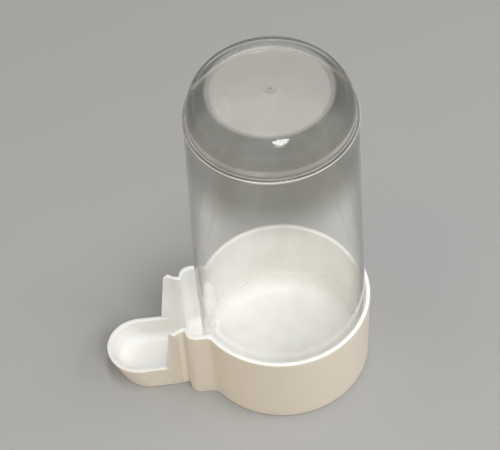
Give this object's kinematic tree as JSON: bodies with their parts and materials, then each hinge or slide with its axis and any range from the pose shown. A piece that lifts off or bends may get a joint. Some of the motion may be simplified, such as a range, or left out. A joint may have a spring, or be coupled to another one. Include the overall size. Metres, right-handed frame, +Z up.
{
  "type": "bird water fountain",
  "caption": "Gravity water fountain for a cage bird: a clear domed tank stands mouth down in a moulded cup whose waisted neck runs out into a shallow drinking trough.",
  "frame": {"origin": "on the tank's axis at the flat underside of the cup", "axes": "+Z up along the tank's axis, -X along the neck and the drinking trough, Y across the neck"},
  "size_m": [0.098, 0.0646, 0.1433],
  "materials": {
    "base_plastic": "glossy moulded polystyrene, warm white",
    "tank_plastic": "clear polystyrene with a slight grey cast"
  },
  "bodies": {
    "base": {"drinking_base": "base_plastic"},
    "tank": {"water_tank": "tank_plastic"}
  },
  "joints": [
    {"name": "tank_lift", "type": "slide", "parent": "base", "child": "tank", "axis": [0, 0, 1], "range_m": [0, 0.045]}
  ]
}
